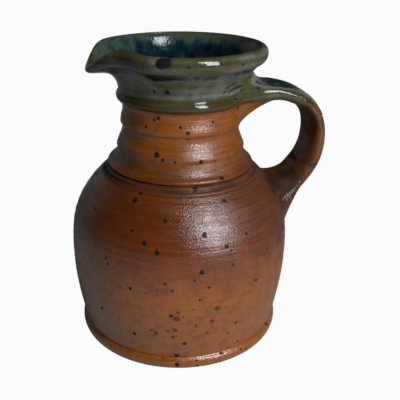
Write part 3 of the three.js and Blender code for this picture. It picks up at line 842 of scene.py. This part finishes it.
# %% Specks
SEEN_SPECKS = """
163.5,62.5,16 189,67,4 221,64,3 243,64.5,3 167,92.5,6 154,91.5,4 258,88.5,5 236,99,4 158.5,118.5,4
154.5,120,3 146,127,3 180.5,127.5,4 213,122,3 188,133.5,4 188,139.5,3 235.5,117,3 157,155,7 162.5,160.5,4
201,162,5 175,162.5,3 214.5,160.5,2 222,178.5,6 195,189,7 140.7,193,5 135,200.5,6 165.6,221,5
204.6,235,6 144.6,243.4,5 157.2,252.6,6 224.5,201,5 246.4,233.5,4 226.8,246.5,5 231.4,250.3,3
233,264.5,3 201.6,272.5,6 255.9,280,4 130.4,288.6,4 120,287.5,2 194.7,281,3 172.5,291,3 209,287.5,3
165,284,3 95,209,4 81,239,3 90.6,258.7,2 108,264,3 106,258,3 132,230.7,4 99.5,225,2 267,248.5,3
102,308,4 171,316,4 134.5,333.5,5 184.5,343.5,5 177,355.5,6 177,365,6 197,366,4 236,322.5,4 267,324,5
246,348.5,3 241,349,3 228,347.5,3 221,353,4 237.5,341,3 200,300,3 196.5,360.5,3 145,293.5,2 126.7,236,2
147,205,2 237,199.5,2 251,293,2 183,317,2
"""
SEEN_STAINS = """
177,319,7 175,330,6 156,333,6 173,337,5 212,321,6 217,308,7 196,326,4 207,333,4 178,313,4 168,331,4
152,330,4 228,333,4
"""
SEEN_STROKES = """
231,91,8,1.6 235,88,10,2.0 239.5,86.5,9,1.8 228,87,7,1.5 242,90.5,7,1.5 234,84,7,1.5 225,92,6,1.4
"""
STROKE_TURN, STROKE_TINT = math.radians(-34), 0.6
SEEN_GLINT_DROPS = """
283,199,4 285,197,5 287.5,195.5,6 290,193.5,6 292.5,191,5 286.5,199.5,4 290,197,4 294.5,188.5,4 296.5,186,3
299.5,182,3 303,177,2 306,172.5,2 301,97.5,3 303.5,99,2 305,100.5,3 308.5,103,2 310,105.5,3 311.8,106.8,2
313.8,110.5,3 314.6,112,2 317,116,2 318.2,118.6,3 319.6,124,2 320.4,127.5,2 321,132,2
"""
PIXEL, BROAD, FINE_BALL, COARSE_BALL = 0.57, 6.0, (32, 16), (12, 6)
UNEVEN, LOBES, SEED_STEP, RIM_FADE = 0.4, 1.3, 3.7, 0.36
CRUST, STAIN, DROP, STAIN_MARK, GLINT_DROP_MARK = 0.12, 0.04, 0.35, 1.0, 2.0
FAR_SPECKS, FAR_SIZES, FAR_LEVELS = 80, (1.4, 1.8, 2.2, 3.0, 4.0), (12, 196)
FAR_START, TURNED_AWAY = 0.3, -0.3
carriers = []
for piece in (belly_piece, neck_piece, rim_coat_piece, handle_coat_piece,
              upper_lute_piece, lower_lute_piece, strap_piece):
    held = bmesh.new()
    held.from_mesh(piece.data)
    carriers.append(BVHTree.FromBMesh(held))


def first_hit(start, way):
    """Place and normal of the first skin on a ray, and that skin, or None."""
    hits = [(*tree.ray_cast(start, way), tree) for tree in carriers]
    hits = [hit for hit in hits if hit[0] is not None]
    if not hits:
        return None
    place, normal, _, _, skin = min(hits, key=lambda hit: hit[3])
    return place, normal, skin


specks = bmesh.new()
rim_mark = specks.verts.layers.float.new("rim")


def set_speck(place, normal, skin, across, seed, high=CRUST, mark=None):
    """A crust, stain or drop about so wide, in mm: a flat ball whose spots are pressed onto the skin."""
    turn = normal.to_track_quat("Z", "Y").to_matrix()
    around, rows = COARSE_BALL if across < BROAD else FINE_BALL
    ball = bmesh.ops.create_uvsphere(specks, u_segments=around, v_segments=rows, radius=1)["verts"]
    for spot in ball:
        x, y, rise = spot.co
        uneven = 1 + UNEVEN * noise.noise(Vector((x * LOBES, y * LOBES, seed * SEED_STEP)))
        beside_it = turn @ Vector((x, y, 0)) * across / 2 * uneven * MM
        found, facing, _, _ = skin.find_nearest(place + beside_it)
        spot.co = found + facing * rise * high * MM
        spot[rim_mark] = mark or math.hypot(x, y) * RIM_FADE


def set_stroke(x, y, length, wide):
    """A wiped brush mark, laid out in the picture and dropped on the skin along its sight lines."""
    c, s = math.cos(STROKE_TURN), math.sin(STROKE_TURN)
    for spot in bmesh.ops.create_uvsphere(specks, u_segments=16, v_segments=6, radius=1)["verts"]:
        along, across, rise = spot.co.x * length / 2, spot.co.y * wide / 2, spot.co.z
        found, facing, _ = first_hit(*sight_line(x + along * c - across * s, y + along * s + across * c))
        spot.co = found + facing * rise * STAIN * MM
        spot[rim_mark] = STROKE_TINT


count = 0
for entry in SEEN_STROKES.split():
    set_stroke(*(float(v) for v in entry.split(",")))
kinds = (SEEN_SPECKS, CRUST, None), (SEEN_STAINS, STAIN, STAIN_MARK), (SEEN_GLINT_DROPS, DROP, GLINT_DROP_MARK)
for seen, high, mark in kinds:
    for entry in seen.split():
        x, y, across = (float(v) for v in entry.split(","))
        hit = first_hit(*sight_line(x, y))
        if hit:
            count += 1
            set_speck(*hit, across * PIXEL, count, high, mark)
chance = random.Random(11)
for _ in range(FAR_SPECKS):
    angle, level = chance.uniform(0, 2 * math.pi), chance.uniform(*FAR_LEVELS) * MM
    out_there = Vector((math.cos(angle), math.sin(angle), 0))
    hit = first_hit(out_there * FAR_START + Vector((0, 0, level)), -out_there)
    if hit and hit[1].dot((eye_place.translation - hit[0]).normalized()) < TURNED_AWAY:
        count += 1
        set_speck(*hit, chance.choice(FAR_SIZES), count)
bmesh.ops.recalc_face_normals(specks, faces=specks.faces)
print(count, "specks, stains and drops")
iron, tree = new_material("iron_bleed_and_glint_drops")
rim = add(tree, "Attribute", attribute_name="rim").outputs["Fac"]
kind = add(tree, "Math", {0: rim, 1: GLINT_DROP_MARK}, operation="DIVIDE")
# The palest stop, for the drops, is a painted highlight: pale grey glints on the strap's edge and heel.
tint = add(tree, "ValToRGB", {"Fac": kind.outputs[0]},
           [(0.125, "#0b0c0e"), (0.25, "#271c15"), (0.5, "#65401c"), (1.0, "#736c60")])
glassy = add(tree, "MapRange", {0: rim, 1: STAIN_MARK, 2: GLINT_DROP_MARK, 3: 0.6, 4: 0.1})
crust = add(tree, "BsdfPrincipled", {"Base Color": tint.outputs[0], "Roughness": glassy.outputs[0],
                                     "IOR": 1.4})
add(tree, "OutputMaterial", {"Surface": crust.outputs[0]})
speck_piece = finished(specks, "iron_specks", [])
speck_piece.data.materials.append(iron)

# %% [markdown]
# ## Table and light
# A pale table and a white backdrop. The key is a tall window to the right of the camera. Two
# low, dim windows behind the pot, left and right, edge its flanks with light and keep its back
# from going black. The rest of the room is dark, so the left flank falls away. Light Path makes
# the floor white to the camera. Only a small share of that white goes to glossy rays: there is
# no metal or glass here to show the backdrop, and a full white floor would turn the satin clay
# grey. The floor keeps a soft shadow.

# %% Table and light
TABLE_HALF, TABLE_WHITE, TABLE_MIRROR, AIM_HEIGHT = 3.0, 0.96, 0.04, 0.1
table = bmesh.new()
bmesh.ops.create_grid(table, x_segments=1, y_segments=1, size=TABLE_HALF)
table_data = bpy.data.meshes.new("table")
table.to_mesh(table_data)
table_piece = bpy.data.objects.new("table", table_data)
bpy.context.scene.collection.objects.link(table_piece)
paper, tree = new_material("pale_table_paper")
path = add(tree, "LightPath")
matt = add(tree, "BsdfDiffuse", {"Color": linear("#bcbcbc")})
white = add(tree, "Emission", {"Color": (1, 1, 1, 1), "Strength": 1.0})
mirrored = add(tree, "Math", {0: path.outputs["Is Glossy Ray"], 1: TABLE_MIRROR}, operation="MULTIPLY")
whitened = add(tree, "Math", {0: path.outputs["Is Camera Ray"], 1: TABLE_WHITE, 2: mirrored.outputs[0]},
               operation="MULTIPLY_ADD")
shown = add(tree, "MixShader", {0: whitened.outputs[0], 1: matt.outputs[0], 2: white.outputs[0]})
add(tree, "OutputMaterial", {"Surface": shown.outputs[0]})
table_piece.data.materials.append(paper)

room = bpy.data.worlds.new("room")
room.use_nodes = True
room.node_tree.nodes.clear()
tree = room.node_tree
path = add(tree, "LightPath")
dim = add(tree, "Background", {"Color": linear("#aab4c0"), "Strength": 0.045})
backdrop = add(tree, "Background", {"Color": (1, 1, 1, 1), "Strength": 1.0})
either = add(tree, "MixShader", {0: path.outputs["Is Camera Ray"], 1: dim.outputs[0],
                                 2: backdrop.outputs[0]})
add(tree, "OutputWorld", {"Surface": either.outputs[0]})
bpy.context.scene.world = room


def window(name, azimuth, elevation, distance, wide, tall, watts, colour):
    """An area lamp facing the pot. Azimuth is to the right of the camera, as photographed."""
    lamp = bpy.data.lights.new(name, "AREA")
    lamp.shape, lamp.size, lamp.size_y = "RECTANGLE", wide, tall
    lamp.energy, lamp.color = watts, linear(colour)[:3]
    a = math.radians(azimuth) - POT_TURN
    e = math.radians(elevation)
    way = Vector((math.sin(a) * math.cos(e), -math.cos(a) * math.cos(e), math.sin(e)))
    lamp_piece = bpy.data.objects.new(name, lamp)
    lamp_piece.matrix_world = (Matrix.Translation(Vector((0, 0, AIM_HEIGHT)) + way * distance)
                               @ way.to_track_quat("Z", "Y").to_matrix().to_4x4())
    bpy.context.scene.collection.objects.link(lamp_piece)
    print(name, watts, "W at", distance, "m")


window("window_right", 41, 31, 1.0, 0.28, 0.72, 9.4, "#f4f8ff")
window("sky_left", -130, 12, 1.5, 1.5, 0.7, 0.7, "#d6dcdf")
window("sky_right", 132, 12, 1.5, 1.5, 0.7, 0.9, "#e2e8ee")

# %% [markdown]
# ## Look
# The Standard view transform shows each colour as it is written here. Filmic or AgX would mute
# the orange of the clay.

# %% Look
bpy.context.scene.view_settings.view_transform = "Standard"
